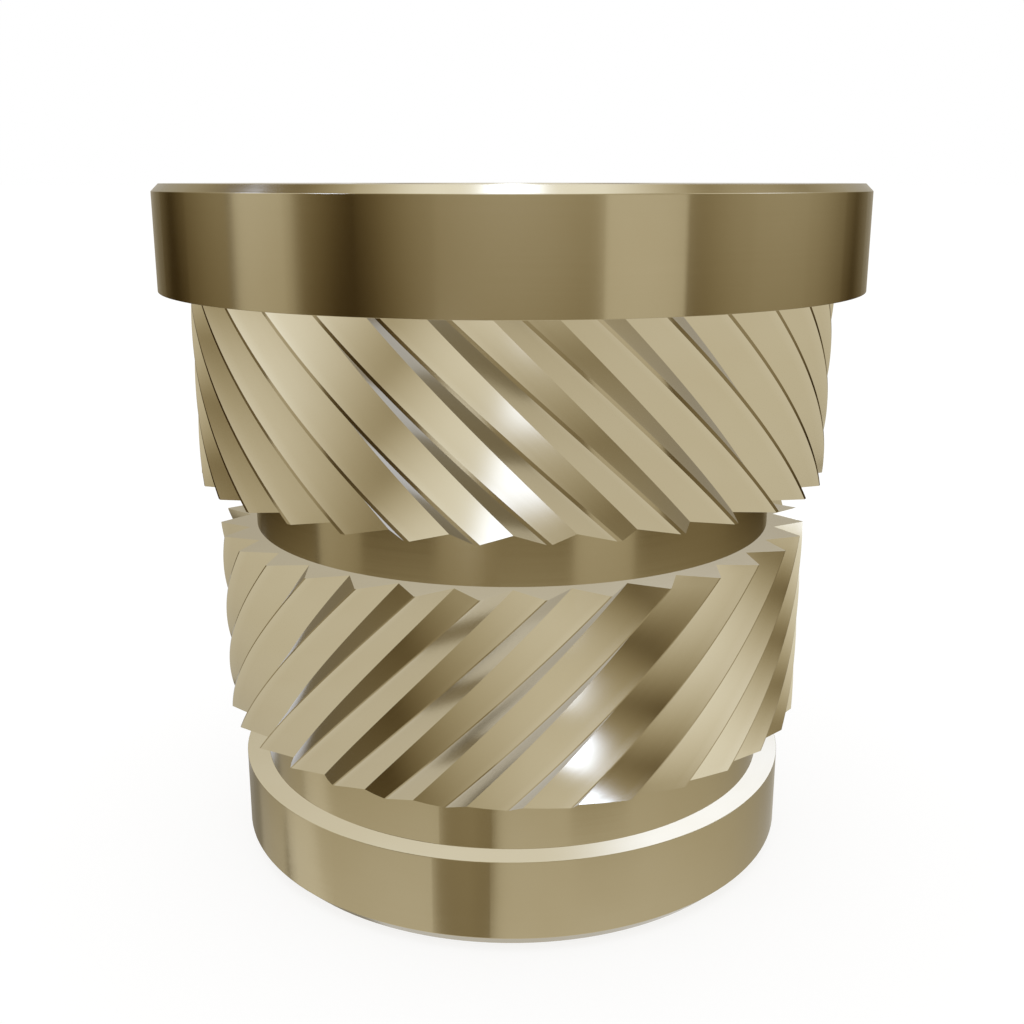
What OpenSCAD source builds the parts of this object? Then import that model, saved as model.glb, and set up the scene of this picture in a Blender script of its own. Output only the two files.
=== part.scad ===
// Flanged threaded insert, turned and knurled from one piece of brass bar.
// It stands on its pilot end with the flange on top. The axis is Z, and the pilot's end lies at Z = 0.
// Two bands of V grooves, wound in opposite senses, bite into the plastic round the insert.

/* [Thread] */
// Nominal diameter of the screw that the insert takes
thread_d = 3; // [2:0.5:3.5]
// Pitch of the thread
thread_pitch = 0.5; // [0.35:0.05:0.7]
// How far each mouth's countersink opens out past the thread, on the radius
countersink = 0.1; // [0.05:0.05:0.3]

/* [Flange] */
// Diameter of the flange
flange_d = 6; // [5.8:0.1:10]
// Thickness of the flange
flange_t = 0.85; // [0.4:0.05:2]
// Chamfer round the top edge of the flange
flange_chamfer = 0.06; // [0.02:0.01:0.3]

/* [Grooves] */
// Grooves round each knurled band
grooves = 34; // [24:1:44]
// Angle between the two sides of a groove
groove_angle = 90; // [75:5:110]
// Height in which a groove would wind once round the insert
groove_lead = 15.8; // [10:0.1:60]

/* [Upper band] */
// Diameter over the upper band's teeth
upper_d = 5.5; // [5.3:0.05:5.7]
// Length of the upper band, which starts under the flange
upper_len = 1.585; // [0.8:0.005:4]
// Width left on top of each tooth of the upper band
upper_land = 0.04; // [0.01:0.005:0.1]

/* [Lower band] */
// Diameter over the lower band's teeth
lower_d = 5.225; // [5.1:0.025:5.7]
// Length of the lower band, without the taper at its lower end
lower_len = 1.665; // [0.8:0.005:4]
// Width left on top of each tooth of the lower band
lower_land = 0.015; // [0.01:0.005:0.1]
// Height of the taper from the neck out to the lower band's teeth, which leads them into the hole
lead_in = 0.145; // [0.05:0.005:0.3]

/* [Necks and pilot] */
// Diameter of the two plain necks
neck_d = 4.6; // [4.2:0.05:4.65]
// Length of the neck between the bands
upper_neck_len = 0.455; // [0.2:0.005:2]
// Length of the neck between the lower band's taper and the pilot
lower_neck_len = 0.36; // [0.2:0.01:2]
// Diameter of the pilot, which centres the insert in its hole
pilot_d = 5; // [4.7:0.05:5.2]
// Length of the pilot
pilot_len = 0.79; // [0.4:0.01:2]
// Chamfer round the end of the pilot
pilot_chamfer = 0.12; // [0.04:0.02:0.3]

/* [Hidden] */

brass = [0.78, 0.71, 0.53];
$fn = 120;

// The bore is the thread's tap drill, and the thread winds outwards from it
bore_d = thread_d - thread_pitch;
mouth_d = thread_d + 2 * countersink;
mouth_depth = (mouth_d - bore_d) / 2;

// Heights of the shoulders, counted up from the pilot's end
lower_neck_z = pilot_len;
lead_in_z = lower_neck_z + lower_neck_len;
lower_band_z = lead_in_z + lead_in;
upper_neck_z = lower_band_z + lower_len;
upper_band_z = upper_neck_z + upper_neck_len;
flange_z = upper_band_z + upper_len;
total_len = flange_z + flange_t;

// Angle of the groove nearest the front of each band, at the end that faces the neck
front = -89.8;
groove_pitch = 360 / grooves;
slice_turn = 2.4;
overlap = 0.2;

// Half the angle that a groove's mouth spans, seen from the axis
function mouth_half_angle(band_d, land) = groove_pitch / 2 - land / band_d * 180 / PI;

// Radius of the bottom of a groove
function groove_bottom_r(band_d, land) =
    let (half = mouth_half_angle(band_d, land))
    band_d / 2 * (cos(half) - sin(half) / tan(groove_angle / 2));

function on_circle(radius, angle) = [radius * cos(angle), radius * sin(angle)];

// Cross-section of a band: for each groove its two edges, and its bottom between them
module grooved_section(band_d, land) {
    half = mouth_half_angle(band_d, land);
    polygon([
        for (index = [0 : grooves - 1])
            let (angle = front + index * groove_pitch)
            each [
                on_circle(band_d / 2, angle - half),
                on_circle(groove_bottom_r(band_d, land), angle),
                on_circle(band_d / 2, angle + half)
            ]
    ]);
}

// A band that stands on Z = 0, with its grooves winding clockwise as they rise
module knurled_band(band_d, band_len, land) {
    turn = 360 * band_len / groove_lead;
    linear_extrude(height = band_len, twist = turn, slices = ceil(turn / slice_turn))
        grooved_section(band_d, land);
}

// The space that the lower band's teeth may fill: a plain cylinder that tapers in at its lower end
module tapered_envelope() {
    slope = lead_in / (lower_d / 2 - neck_d / 2);
    rotate_extrude()
        polygon([
            [0, lead_in_z - overlap * slope],
            [neck_d / 2 - overlap, lead_in_z - overlap * slope],
            [lower_d / 2 + overlap, lower_band_z + overlap * slope],
            [lower_d / 2 + overlap, upper_neck_z + overlap],
            [0, upper_neck_z + overlap]
        ]);
}

// The lower band, wound the other way, with its taper
module lower_band() {
    intersection() {
        translate([0, 0, upper_neck_z])
            mirror([0, 0, 1])
                knurled_band(lower_d, lower_len + lead_in + overlap, lower_land);
        tapered_envelope();
    }
}

// All that the lathe leaves before knurling: flange, necks and pilot
module turned_blank() {
    flange_r = flange_d / 2;
    pilot_r = pilot_d / 2;
    neck_r = neck_d / 2;
    rotate_extrude()
        polygon([
            [0, 0],
            [pilot_r - pilot_chamfer, 0],
            [pilot_r, pilot_chamfer],
            [pilot_r, lower_neck_z],
            [neck_r, lower_neck_z],
            [neck_r, flange_z],
            [flange_r, flange_z],
            [flange_r, total_len - flange_chamfer],
            [flange_r - flange_chamfer, total_len],
            [0, total_len]
        ]);
}

// The bore that the thread is cut in, with a countersink at each mouth
module threaded_bore() {
    translate([0, 0, -overlap])
        cylinder(h = total_len + 2 * overlap, d = bore_d);
    countersink_at_origin();
    translate([0, 0, total_len])
        mirror([0, 0, 1])
            countersink_at_origin();
}

// A 90 degree countersink that opens downwards at Z = 0
module countersink_at_origin() {
    translate([0, 0, -overlap])
        cylinder(h = mouth_depth + overlap, d1 = mouth_d + 2 * overlap, d2 = bore_d);
}

module threaded_insert() {
    color(brass)
        difference() {
            union() {
                turned_blank();
                translate([0, 0, upper_band_z])
                    knurled_band(upper_d, upper_len, upper_land);
                lower_band();
            }
            threaded_bore();
        }
}

threaded_insert();
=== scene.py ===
import math

import bmesh
import bpy
from mathutils import Matrix, Vector


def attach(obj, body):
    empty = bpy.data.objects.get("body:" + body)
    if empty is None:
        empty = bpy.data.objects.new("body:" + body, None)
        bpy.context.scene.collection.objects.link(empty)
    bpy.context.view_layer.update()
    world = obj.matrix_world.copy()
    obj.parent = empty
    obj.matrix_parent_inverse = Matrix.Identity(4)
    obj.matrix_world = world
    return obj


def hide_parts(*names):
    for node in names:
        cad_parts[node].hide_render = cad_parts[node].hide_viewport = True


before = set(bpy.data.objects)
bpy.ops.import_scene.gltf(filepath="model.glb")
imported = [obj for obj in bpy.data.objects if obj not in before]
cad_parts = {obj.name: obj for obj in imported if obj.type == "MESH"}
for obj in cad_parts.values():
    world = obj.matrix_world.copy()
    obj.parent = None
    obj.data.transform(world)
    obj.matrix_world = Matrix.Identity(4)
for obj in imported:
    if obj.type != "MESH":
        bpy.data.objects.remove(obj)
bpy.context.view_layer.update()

MM = 0.001

# The insert, as in the CAD, in millimetres. It stands on its pilot, with the axis on Z
THREAD_D = 3.0
THREAD_PITCH = 0.5
COUNTERSINK = 0.1
BORE_D = THREAD_D - THREAD_PITCH
MOUTH_D = THREAD_D + 2 * COUNTERSINK
MOUTH_DEPTH = (MOUTH_D - BORE_D) / 2
FLANGE_D = 6.0
FLANGE_T = 0.85
FLANGE_CHAMFER = 0.06
GROOVES = 34
GROOVE_ANGLE = 90.0
GROOVE_LEAD = 15.8
FRONT = math.radians(-89.8)
UPPER_D = 5.5
UPPER_LEN = 1.585
UPPER_LAND = 0.04
LOWER_D = 5.225
LOWER_LEN = 1.665
LOWER_LAND = 0.015
LEAD_IN = 0.145
NECK_D = 4.6
UPPER_NECK_LEN = 0.455
LOWER_NECK_LEN = 0.36
PILOT_D = 5.0
PILOT_LEN = 0.79
PILOT_CHAMFER = 0.12

LOWER_NECK_Z = PILOT_LEN
LEAD_IN_Z = LOWER_NECK_Z + LOWER_NECK_LEN
LOWER_BAND_Z = LEAD_IN_Z + LEAD_IN
UPPER_NECK_Z = LOWER_BAND_Z + LOWER_LEN
BETWEEN_BANDS_Z = UPPER_NECK_Z + UPPER_NECK_LEN / 2
UPPER_BAND_Z = UPPER_NECK_Z + UPPER_NECK_LEN
FLANGE_Z = UPPER_BAND_Z + UPPER_LEN
TOTAL_LEN = FLANGE_Z + FLANGE_T
TURN_PER_MM = 2 * math.pi / GROOVE_LEAD

# The mesh: the round on turned corners and its points, and how far the grooves wind from ring to ring
EDGE_BREAK = 0.003
ROUND_STEPS = (0.0, 0.33, 0.67, 1.0)
SLICE_TURN = math.radians(1.5)
SHARP_ANGLE = math.radians(5)
# Shares of the length between which the bore's wall is one plain stretch before tapping
BORE_STRETCH = (0.4, 0.6)
# Width of the outermost ring of the flange's underside, in millimetres
UNDERSIDE_RIM = 0.1

# The thread, in millimetres and degrees
THREAD_ANGLE = 60
THREAD_ROOT = THREAD_PITCH / 8
# Flat share of the root, and the depth and width of its round on either side
ROOT_FLAT = 0.6
ROOT_ROUND = (0.01, 0.006)
# How far the tap reaches into the open bore, and past the insert's ends
TAP_INSIDE = 0.1
TAP_OVERRUN = 1.5 * THREAD_PITCH
TAP_STEPS = 96

# Faces of the mesh by how they were cut
TURNED, KNURLED, TAPPED = range(3)


# The insert's mesh

def new_object(name, data):
    made = bpy.data.objects.new(name, data)
    bpy.context.scene.collection.objects.link(made)
    return made


def mesh_of(made, name):
    mesh = bpy.data.meshes.new(name)
    made.to_mesh(mesh)
    made.free()
    return mesh


def add_strip(made, row, following, kind):
    """Faces from one closed row of points to the next."""
    for c in range(len(row)):
        n = (c + 1) % len(row)
        face = made.faces.new((row[c], row[n], following[n], following[c]))
        face.material_index = kind
        face.smooth = True


def tooth_columns(diameter, land):
    """Angle from the groove's middle, and radius, of each column from one tooth's crest to the next."""
    half_pitch = math.pi / GROOVES
    radius = diameter / 2
    half_mouth = half_pitch - land / diameter
    depth_share = math.sin(half_mouth) / math.tan(math.radians(GROOVE_ANGLE / 2))
    bottom = radius * (math.cos(half_mouth) - depth_share)
    edge = Vector((radius * math.cos(half_mouth), radius * math.sin(half_mouth)))
    halfway = Vector((bottom, 0)).lerp(edge, 0.5)
    side = [(math.atan2(halfway.y, halfway.x), halfway.length), (half_mouth, radius)]
    return [(-angle, r) for angle, r in reversed(side)] + [(0.0, bottom)] + side + [(half_pitch, radius)]


UPPER_TOOTH = tooth_columns(UPPER_D, UPPER_LAND)
LOWER_TOOTH = tooth_columns(LOWER_D, LOWER_LAND)


def ring(tooth, place):
    """One ring of points. From a column's radius on the teeth, place gives radius, height and turn."""
    points = []
    for groove in range(GROOVES):
        for angle, tooth_radius in tooth:
            radius, z, turn = place(tooth_radius)
            here = FRONT + groove * 2 * math.pi / GROOVES + turn + angle
            points.append((radius * math.cos(here), radius * math.sin(here), z))
    return points


def softened(corners):
    """A lathe profile with a small round in place of each corner but the first and the last."""
    profile = [corners[0]]
    for before, corner, after in zip(corners, corners[1:], corners[2:]):
        here = Vector(corner)
        start = here + (Vector(before) - here).normalized() * EDGE_BREAK
        end = here + (Vector(after) - here).normalized() * EDGE_BREAK
        for t in ROUND_STEPS:
            profile.append(tuple(start.lerp(here, t).lerp(here.lerp(end, t), t)))
    profile.append(corners[-1])
    return profile


def turned_rings(corners, tooth, turn):
    """Rings of a turned stretch. They are round, with their points in line with the teeth next to them."""
    rings = []
    for r, z in softened(corners):
        kind = TAPPED if r < BORE_D / 2 + EDGE_BREAK else TURNED
        rings.append((ring(tooth, lambda _, r=r, z=z: (r, z, turn)), kind))
    return rings


def band_rings(tooth, z_neck, far_end):
    """Rings of a knurled band from its neck end to its far end, whose height far_end gives for a radius."""
    length = max(abs(far_end(radius) - z_neck) for _, radius in tooth)
    count = math.ceil(length * TURN_PER_MM / SLICE_TURN)

    def at_share(share):
        def place(radius):
            z = z_neck + (far_end(radius) - z_neck) * share
            return radius, z, -abs(z - z_neck) * TURN_PER_MM
        return place

    return [(ring(tooth, at_share(k / count)), KNURLED) for k in range(count + 1)]


def lead_in_height(radius):
    """Height of the lower band's taper, which runs from the neck out to the crests."""
    return LEAD_IN_Z + LEAD_IN * (radius - NECK_D / 2) / (LOWER_D / 2 - NECK_D / 2)


def blank_rings():
    """All rings of the insert before tapping, in order round its section, from the middle of the bore."""
    pilot_r, neck_r, flange_r = PILOT_D / 2, NECK_D / 2, FLANGE_D / 2
    bore_r, mouth_r = BORE_D / 2, MOUTH_D / 2
    low_share, high_share = BORE_STRETCH
    pilot = turned_rings([
        (bore_r, TOTAL_LEN * low_share), (bore_r, MOUTH_DEPTH), (mouth_r, 0), (pilot_r - PILOT_CHAMFER, 0),
        (pilot_r, PILOT_CHAMFER), (pilot_r, LOWER_NECK_Z), (neck_r, LOWER_NECK_Z), (neck_r, LEAD_IN_Z),
    ], LOWER_TOOTH, (LEAD_IN_Z - UPPER_NECK_Z) * TURN_PER_MM)
    lower_band = band_rings(LOWER_TOOTH, UPPER_NECK_Z, lead_in_height)[::-1]
    neck = turned_rings([(neck_r, UPPER_NECK_Z), (neck_r, UPPER_BAND_Z)], UPPER_TOOTH, 0.0)
    upper_band = band_rings(UPPER_TOOTH, UPPER_BAND_Z, lambda _: FLANGE_Z)
    flange = turned_rings([
        (flange_r - UNDERSIDE_RIM, FLANGE_Z), (flange_r, FLANGE_Z), (flange_r, TOTAL_LEN - FLANGE_CHAMFER),
        (flange_r - FLANGE_CHAMFER, TOTAL_LEN), (mouth_r, TOTAL_LEN), (bore_r, TOTAL_LEN - MOUTH_DEPTH),
        (bore_r, TOTAL_LEN * high_share),
    ], UPPER_TOOTH, -UPPER_LEN * TURN_PER_MM)
    return pilot + lower_band + neck + upper_band + flange


def blank_mesh():
    """The insert before tapping, as one closed mesh."""
    rings = blank_rings()
    kinds = [kind for _, kind in rings]
    made = bmesh.new()
    rows = [[made.verts.new(Vector(point) * MM) for point in points] for points, _ in rings]
    for i, row in enumerate(rows):
        after = (i + 1) % len(rows)
        add_strip(made, row, rows[after], kinds[i] if kinds[i] == kinds[after] else TURNED)
    bmesh.ops.recalc_face_normals(made, faces=made.faces)
    return mesh_of(made, "insert")


def tap_section():
    """Radius and height of each point of the tap's section: a V with a narrow, softened root."""
    root_half = THREAD_ROOT / 2
    inner_r, root_r = BORE_D / 2 - TAP_INSIDE, THREAD_D / 2
    inner_half = root_half + (root_r - inner_r) * math.tan(math.radians(THREAD_ANGLE / 2))
    round_depth, round_width = ROOT_ROUND
    above = [
        (root_r, root_half * ROOT_FLAT),
        (root_r - round_depth, root_half + round_width),
        (inner_r, inner_half),
    ]
    return [(r, -z) for r, z in reversed(above)] + above


def tap_mesh():
    """The helical space that a right-handed tap clears."""
    section = tap_section()
    turns = (TOTAL_LEN + 2 * TAP_OVERRUN) / THREAD_PITCH
    made = bmesh.new()
    rows = []
    for k in range(int(turns * TAP_STEPS) + 1):
        angle = 2 * math.pi * k / TAP_STEPS
        z = THREAD_PITCH * k / TAP_STEPS - TAP_OVERRUN
        points = [(r * math.cos(angle), r * math.sin(angle), z + dz) for r, dz in section]
        rows.append([made.verts.new(Vector(point) * MM) for point in points])
    for row, following in zip(rows, rows[1:]):
        add_strip(made, row, following, TAPPED)
    made.faces.new(rows[0])
    made.faces.new(rows[-1])
    bmesh.ops.recalc_face_normals(made, faces=made.faces)
    return mesh_of(made, "tap")


def tapped_mesh(insert, tap):
    """The insert's mesh with the thread cut out of it."""
    cut = insert.modifiers.new("thread", "BOOLEAN")
    cut.operation = "DIFFERENCE"
    cut.solver = "MANIFOLD"
    cut.object = tap
    shown = bpy.context.evaluated_depsgraph_get()
    mesh = bpy.data.meshes.new_from_object(insert.evaluated_get(shown))
    insert.modifiers.clear()
    mesh.set_sharp_from_angle(angle=SHARP_ANGLE)
    return mesh


def make_insert(materials):
    insert = new_object("insert_body", blank_mesh())
    tap = new_object("tap", tap_mesh())
    for made in (insert, tap):
        for material in materials:
            made.data.materials.append(material)
    insert.data = tapped_mesh(insert, tap)
    bpy.data.objects.remove(tap)
    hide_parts("threaded_insert")
    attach(insert, "root")
    # The insert mirrors the studio but not itself, as in the photo
    insert.visible_glossy = False


# Brass: bare, tarnished and worn, and the tint of its reflections at a low angle

BRASS = (0.50, 0.43, 0.27)
BRASS_DARK = (0.46, 0.385, 0.225)
BRASS_WORN = (0.54, 0.47, 0.31)
EDGE_TINT = (0.72, 0.72, 0.72, 1)
# Share of the dark brass and roughness, from no tarnish to full tarnish
DARK_SHARE = (-0.4, 1.2)
ROUGHNESS = (0.13, 0.17)
# Size of the patches of tarnish in millimetres, and the detail and roughness of their outline
TARNISH_SIZE = 1.4
TARNISH_DETAIL = (3.0, 0.55)
# Size and depths of the marks in millimetres, and what they add to the roughness
MARK_SIZE = 0.05
RING_DEPTH = 0.00016
GROOVE_MARK_DEPTH = 0.00007
MARK_ROUGHNESS = (-0.012, 0.012)
# How far the marks drift along the axis, and how much they are drawn out along a groove
RING_DRIFT = 0.004
GROOVE_SQUASH = 0.03
# Depth of the wear on a crest in millimetres, its share of the worn brass, and how much smoother it is
WEAR_DEPTH = 0.06
WORN_SHARE = 0.5
WORN_POLISH = 0.02
# Share of the light left deep in the bore, and the depth at which it is reached, in millimetres
BORE_DIM = 0.12
BORE_DIM_DEPTH = 2.6


class Nodes:
    """Adds nodes to a tree and joins them in one call each."""

    def __init__(self, tree):
        tree.nodes.clear()
        self.tree = tree

    def add(self, kind, inputs=None, **settings):
        made = self.tree.nodes.new(kind)
        for name, value in settings.items():
            setattr(made, name, value)
        for name, value in (inputs or {}).items():
            if isinstance(value, bpy.types.NodeSocket):
                self.tree.links.new(value, made.inputs[name])
            else:
                made.inputs[name].default_value = value
        return made

    def math(self, operation, a, b=0.0, clamp=False):
        return self.add("ShaderNodeMath", {0: a, 1: b}, operation=operation, use_clamp=clamp).outputs[0]

    def vector(self, operation, a, b=(0.0, 0.0, 0.0), output="Vector"):
        return self.add("ShaderNodeVectorMath", {0: a, 1: b}, operation=operation).outputs[output]

    def length(self, vector):
        return self.vector("LENGTH", vector, output="Value")

    def noise(self, vector, scale, detail=2.0, roughness=0.5):
        made = self.add("ShaderNodeTexNoise", {
            "Vector": vector, "Scale": scale, "Detail": detail, "Roughness": roughness,
        })
        return made.outputs["Fac"]

    def remap(self, value, low, high, start=0.0, end=1.0, curve="LINEAR"):
        made = self.add("ShaderNodeMapRange", {
            "Value": value, "From Min": start, "From Max": end, "To Min": low, "To Max": high,
        }, interpolation_type=curve)
        return made.outputs["Result"]

    def mix(self, share, first, second):
        made = self.add("ShaderNodeMix", {0: share, 7: (*second, 1)}, data_type="RGBA")
        if isinstance(first, bpy.types.NodeSocket):
            self.tree.links.new(first, made.inputs[6])
        else:
            made.inputs[6].default_value = (*first, 1)
        return made.outputs[2]


def new_material(name):
    material = bpy.data.materials.new(name)
    material.use_nodes = True
    return material, Nodes(material.node_tree)


def radius_of(nodes, place):
    """Distance from the axis."""
    return nodes.length(nodes.vector("MULTIPLY", place, (1, 1, 0)))


def height_of(nodes, place):
    return nodes.add("ShaderNodeSeparateXYZ", {0: place}).outputs["Z"]


def ring_coordinates(nodes, place):
    """Distance from the axis and height, with a little of the angle, so that marks run round the axis."""
    parts = nodes.add("ShaderNodeSeparateXYZ", {0: place}).outputs
    drift = nodes.math("MULTIPLY", parts["X"], RING_DRIFT)
    made = nodes.add("ShaderNodeCombineXYZ", {0: radius_of(nodes, place), 1: parts["Z"], 2: drift})
    return made.outputs[0]


def groove_coordinates(nodes, place):
    """The place with the grooves' winding taken out and its height squashed, so that marks run along them."""
    above = nodes.math("SUBTRACT", height_of(nodes, place), BETWEEN_BANDS_Z * MM)
    turn = nodes.math("MULTIPLY", nodes.math("ABSOLUTE", above), TURN_PER_MM / MM)
    unwound = nodes.add("ShaderNodeVectorRotate", {"Vector": place, "Angle": turn}, rotation_type="Z_AXIS")
    return nodes.vector("MULTIPLY", unwound.outputs[0], (1, 1, GROOVE_SQUASH))


def crest_wear(nodes, place):
    """1 on the crests of the teeth, 0 from a little below them."""
    on_upper = nodes.math("GREATER_THAN", height_of(nodes, place), BETWEEN_BANDS_Z * MM)
    step = (UPPER_D - LOWER_D) / 2 * MM
    crest = nodes.math("ADD", nodes.math("MULTIPLY", on_upper, step), LOWER_D / 2 * MM)
    below = nodes.math("SUBTRACT", crest, radius_of(nodes, place))
    return nodes.remap(below, 1.0, 0.0, 0.0, WEAR_DEPTH * MM)


def bore_shade(nodes, place):
    """1 in the open and falling with the depth in the bore. It stands in for the shade that the walls would cast,
    since the insert doesn't mirror itself."""
    height = height_of(nodes, place)
    depth = nodes.math("MINIMUM", height, nodes.math("SUBTRACT", TOTAL_LEN * MM, height))
    return nodes.remap(depth, 1.0, BORE_DIM, MOUTH_DEPTH * MM, BORE_DIM_DEPTH * MM)


def brass(name, coordinates, mark_depth, wear=None, shade=None):
    """Bare brass with faint marks from the tool and a little tarnish, and wear or shade where given."""
    material, nodes = new_material(name)
    place = nodes.add("ShaderNodeTexCoord").outputs["Object"]
    marks = nodes.noise(coordinates(nodes, place), 1 / (MARK_SIZE * MM))
    tarnish = nodes.noise(place, 1 / (TARNISH_SIZE * MM), *TARNISH_DETAIL)
    colour = nodes.mix(nodes.remap(tarnish, *DARK_SHARE), BRASS, BRASS_DARK)
    roughness = nodes.math("ADD", nodes.remap(marks, *MARK_ROUGHNESS), nodes.remap(tarnish, *ROUGHNESS))
    if wear:
        worn = wear(nodes, place)
        colour = nodes.mix(nodes.math("MULTIPLY", worn, WORN_SHARE), colour, BRASS_WORN)
        roughness = nodes.math("SUBTRACT", roughness, nodes.math("MULTIPLY", worn, WORN_POLISH))
    if shade:
        dimmed = nodes.add("ShaderNodeVectorMath", {0: colour, 3: shade(nodes, place)}, operation="SCALE")
        colour = dimmed.outputs[0]
    bump = nodes.add("ShaderNodeBump", {"Height": marks, "Strength": 1.0, "Distance": mark_depth * MM})
    surface = nodes.add("ShaderNodeBsdfPrincipled", {
        "Base Color": colour, "Metallic": 1.0, "Roughness": roughness, "Specular Tint": EDGE_TINT,
        "Normal": bump.outputs[0],
    })
    nodes.add("ShaderNodeOutputMaterial", {"Surface": surface.outputs[0]})
    return material


def make_brass():
    """The three finishes, in the order of the faces' kinds."""
    return [
        brass("brass_turned", ring_coordinates, RING_DEPTH),
        brass("brass_knurled", groove_coordinates, GROOVE_MARK_DEPTH, wear=crest_wear),
        brass("brass_tapped", ring_coordinates, RING_DEPTH, shade=bore_shade),
    ]


# The studio, in metres

ROOM = ((-1.66, -1.50, -0.443), (1.51, 1.36, 2.39))
# Place, power and reach of the one lamp whose light is painted on the walls, and the most and least of that painted
# light
LAMP = (0.023, -0.072, 1.278)
LAMP_POWER = 2.86
LAMP_REACH = 2.7
LAMP_LIMIT = 1.25
LAMP_LEAST = 0.011
# For the walls' red, green and blue: the level in full light, and the power with which it falls
WALL_COLOUR = ((1.33, 0.673), (1.395, 0.779), (1.60, 1.05))
# Middle, size, turn in degrees and strength of the painted light on each block that stands in the room; below 1 it
# is painted shade
BLOCKS = (
    ((-1.09, -0.185, -0.149), (0.233, 0.465, 0.79), -11, 1.0),
    ((-0.56, 0.076, -0.425), (0.197, 0.396, 0.153), 57, 1.04),
    ((0.617, -0.78, -0.264), (0.393, 0.369, 0.63), 32, 1.04),
    ((-0.202, -0.612, -0.348), (0.20, 0.206, 0.457), 19, 1.02),
    ((0.229, 0.262, -0.426), (0.155, 0.15, 0.155), -16.4, 1.0),
    ((-0.219, 0.555, -0.387), (0.3875, 0.30, 0.35), 29.6, 0.72),
)
# Middle, size with the thin side 0, turn in degrees, strength and width of soft edge of each light panel
PANELS = (
    ((-1.61, -0.81, 1.273), (0, 0.289, 0.01), -32.6, 5.96, 0.175),
    ((-1.61, 0.82, 1.65), (0, 0.275, 0.245), 0, 3.8, 0.172),
    ((1.49, 0.215, 0.985), (0, 0.533, 0.25), 0, 1.62, 0.242),
    ((-0.016, -1.452, 0.521), (0.429, 0, 0.535), 0, 1.0, 0.107),
    ((0.331, 1.254, 0.689), (0.298, 0, 0.197), 0, 1.3, 0.144),
    ((0.0, 0.0, 1.65), (0.1, 0.1, 0), 0, 3.0, 0.15),
)
PANEL_COLOUR = (0.76, 1.0, 1.95, 1)


def sheet_mesh(name, size):
    """A flat sheet whose thin side is 0."""
    first, second = [axis for axis in range(3) if size[axis]]
    corners = []
    for s, t in ((-0.5, -0.5), (0.5, -0.5), (0.5, 0.5), (-0.5, 0.5)):
        corner = [0.0, 0.0, 0.0]
        corner[first] = s * size[first]
        corner[second] = t * size[second]
        corners.append(corner)
    mesh = bpy.data.meshes.new(name)
    mesh.from_pydata(corners, [], [(0, 1, 2, 3)])
    return mesh


def block_mesh(name, size, inside_out=False):
    made = bmesh.new()
    bmesh.ops.create_cube(made, size=1.0, matrix=Matrix.Diagonal((*size, 1)))
    if inside_out:
        bmesh.ops.reverse_faces(made, faces=made.faces)
    return mesh_of(made, name)


def studio_piece(mesh, place, turn, axis, material):
    """Part of the studio that only the metal's reflections show."""
    piece = new_object(mesh.name, mesh)
    piece.matrix_world = Matrix.Translation(place) @ Matrix.Rotation(math.radians(turn), 4, axis)
    mesh.materials.append(material)
    piece.visible_camera = False
    piece.visible_diffuse = False
    piece.visible_shadow = False


def painted_lamp_light(nodes):
    """The light of the one lamp, painted on a wall: it falls with distance and slant, and ends at the lamp's reach.
    """
    geometry = nodes.add("ShaderNodeNewGeometry").outputs
    to_lamp = nodes.vector("SUBTRACT", LAMP, geometry["Position"])
    distance = nodes.length(to_lamp)
    facing = nodes.vector("DOT_PRODUCT", to_lamp, geometry["Normal"], output="Value")
    cosine = nodes.math("MAXIMUM", nodes.math("DIVIDE", facing, distance), 0.0)
    power = nodes.math("MULTIPLY", cosine, LAMP_POWER)
    falling = nodes.math("DIVIDE", power, nodes.math("POWER", distance, 2.0))
    share = nodes.math("POWER", nodes.math("DIVIDE", distance, LAMP_REACH), 4.0)
    ending = nodes.math("POWER", nodes.math("SUBTRACT", 1.0, share, clamp=True), 2.0)
    limited = nodes.math("MINIMUM", nodes.math("MULTIPLY", falling, ending), LAMP_LIMIT)
    return nodes.math("MAXIMUM", limited, LAMP_LEAST)


def wall_material(name, painted_light_level=1.0):
    """Wall that glows with the lamp's light painted on it, at the given level: a bluish white where it is bright and
    warm where it is dim.
    """
    material, nodes = new_material(name)
    light = painted_lamp_light(nodes)
    colour = nodes.add("ShaderNodeCombineColor", {
        channel: nodes.math("MULTIPLY", nodes.math("POWER", light, power), level)
        for channel, (level, power) in enumerate(WALL_COLOUR)
    })
    glow = nodes.add("ShaderNodeEmission", {"Color": colour.outputs[0], "Strength": painted_light_level})
    nodes.add("ShaderNodeOutputMaterial", {"Surface": glow.outputs[0]})
    material.cycles.emission_sampling = "NONE"
    return material


def panel_material(name, size, strength, edge):
    """Light panel that fades out softly past its edges."""
    material, nodes = new_material(name)
    place = nodes.add("ShaderNodeTexCoord").outputs["Object"]
    past = nodes.vector("SUBTRACT", nodes.vector("ABSOLUTE", place), Vector(size) / 2)
    distance = nodes.length(nodes.vector("MAXIMUM", past))
    fade = nodes.remap(distance, strength, 0.0, 0.0, edge, "SMOOTHERSTEP")
    glow = nodes.add("ShaderNodeEmission", {"Color": PANEL_COLOUR, "Strength": fade})
    see_through = nodes.add("ShaderNodeBsdfTransparent")
    both = nodes.add("ShaderNodeAddShader", {0: glow.outputs[0], 1: see_through.outputs[0]})
    nodes.add("ShaderNodeOutputMaterial", {"Surface": both.outputs[0]})
    return material


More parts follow.
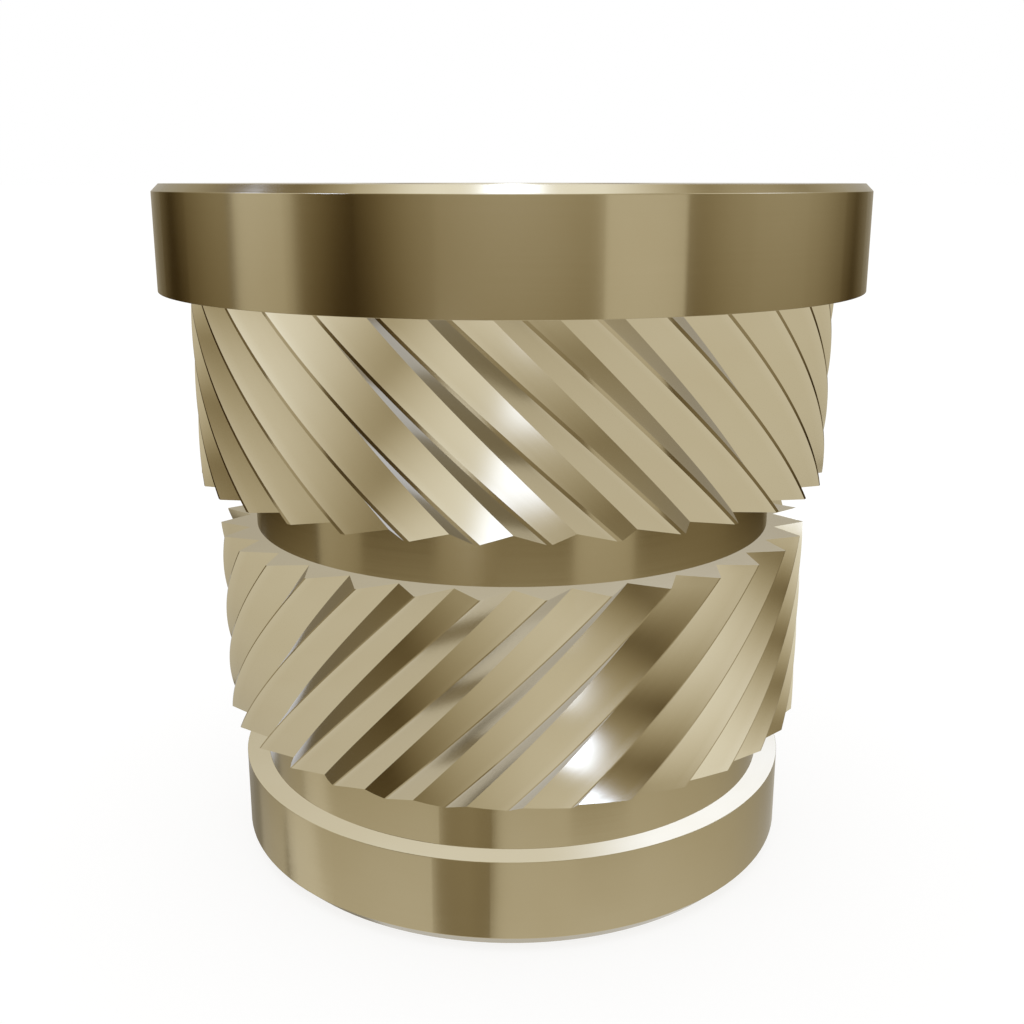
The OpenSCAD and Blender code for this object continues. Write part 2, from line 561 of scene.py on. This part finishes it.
def make_studio():
    low, high = (Vector(corner) for corner in ROOM)
    room = block_mesh("studio_room", high - low, inside_out=True)
    studio_piece(room, (low + high) / 2, 0, "Z", wall_material("studio_wall"))
    for i, (place, size, turn, painted_light_level) in enumerate(BLOCKS):
        name = f"studio_block_{i}"
        studio_piece(block_mesh(name, size), place, turn, "Z", wall_material(name, painted_light_level))
    for i, (place, size, turn, strength, edge) in enumerate(PANELS):
        name = f"studio_panel_{i}"
        with_edge = [length and length + 2 * edge for length in size]
        thin_side = "XYZ"[size.index(0)]
        material = panel_material(name, size, strength, edge)
        studio_piece(sheet_mesh(name, with_edge), place, turn, thin_side, material)


# The floor's size in metres, and how far it lies under the insert
FLOOR_SIZE = 3.0
FLOOR_GAP = 0.005 * MM
FLOOR_COLOUR = (0.25, 0.25, 0.25, 1)
FLOOR_GLOW = 0.79


def floor_material():
    """Dull floor that shows white to the camera and through glass, and in mirrors too unless make_floor hides it."""
    material, nodes = new_material("floor")
    ray = nodes.add("ShaderNodeLightPath").outputs
    mirrored = nodes.math("ADD", ray["Is Glossy Ray"], ray["Is Transmission Ray"])
    seen = nodes.math("ADD", ray["Is Camera Ray"], mirrored, clamp=True)
    diffuse = nodes.add("ShaderNodeBsdfDiffuse", {"Color": FLOOR_COLOUR})
    glow = nodes.add("ShaderNodeEmission", {"Strength": nodes.math("MULTIPLY", seen, FLOOR_GLOW)})
    both = nodes.add("ShaderNodeAddShader", {0: diffuse.outputs[0], 1: glow.outputs[0]})
    nodes.add("ShaderNodeOutputMaterial", {"Surface": both.outputs[0]})
    return material


def make_floor():
    floor = new_object("floor", sheet_mesh("floor", (FLOOR_SIZE, FLOOR_SIZE, 0)))
    floor.location = (0, 0, -FLOOR_GAP)
    floor.data.materials.append(floor_material())
    # Hidden from reflections, so that the metal mirrors the studio room below it and not the white floor
    floor.visible_glossy = False


def make_world():
    """Plain white light from all sides."""
    world = bpy.data.worlds.new("soft_light")
    bpy.context.scene.world = world
    world.use_nodes = True
    nodes = Nodes(world.node_tree)
    light = nodes.add("ShaderNodeBackground", {"Color": (1, 1, 1, 1), "Strength": 1.0})
    nodes.add("ShaderNodeOutputWorld", {"Surface": light.outputs[0]})
    world.cycles.sampling_method = "NONE"


# The camera's place in millimetres, its tilt and view in degrees, and its range in metres
CAMERA_PLACE = (0, -11.008, 5.87)
CAMERA_TILT = 75
VIEW_ANGLE = 45
SENSOR_WIDTH = 36.0
CAMERA_RANGE = (0.5 * MM, 10.0)


def make_camera():
    data = bpy.data.cameras.new("camera")
    data.sensor_width = SENSOR_WIDTH
    data.lens = SENSOR_WIDTH / 2 / math.tan(math.radians(VIEW_ANGLE / 2))
    data.clip_start, data.clip_end = CAMERA_RANGE
    camera = new_object("camera", data)
    camera.location = [length * MM for length in CAMERA_PLACE]
    camera.rotation_euler = (math.radians(CAMERA_TILT), 0, 0)
    bpy.context.scene.camera = camera


make_insert(make_brass())
make_studio()
make_floor()
make_world()
make_camera()
bpy.context.scene.view_settings.view_transform = "Standard"
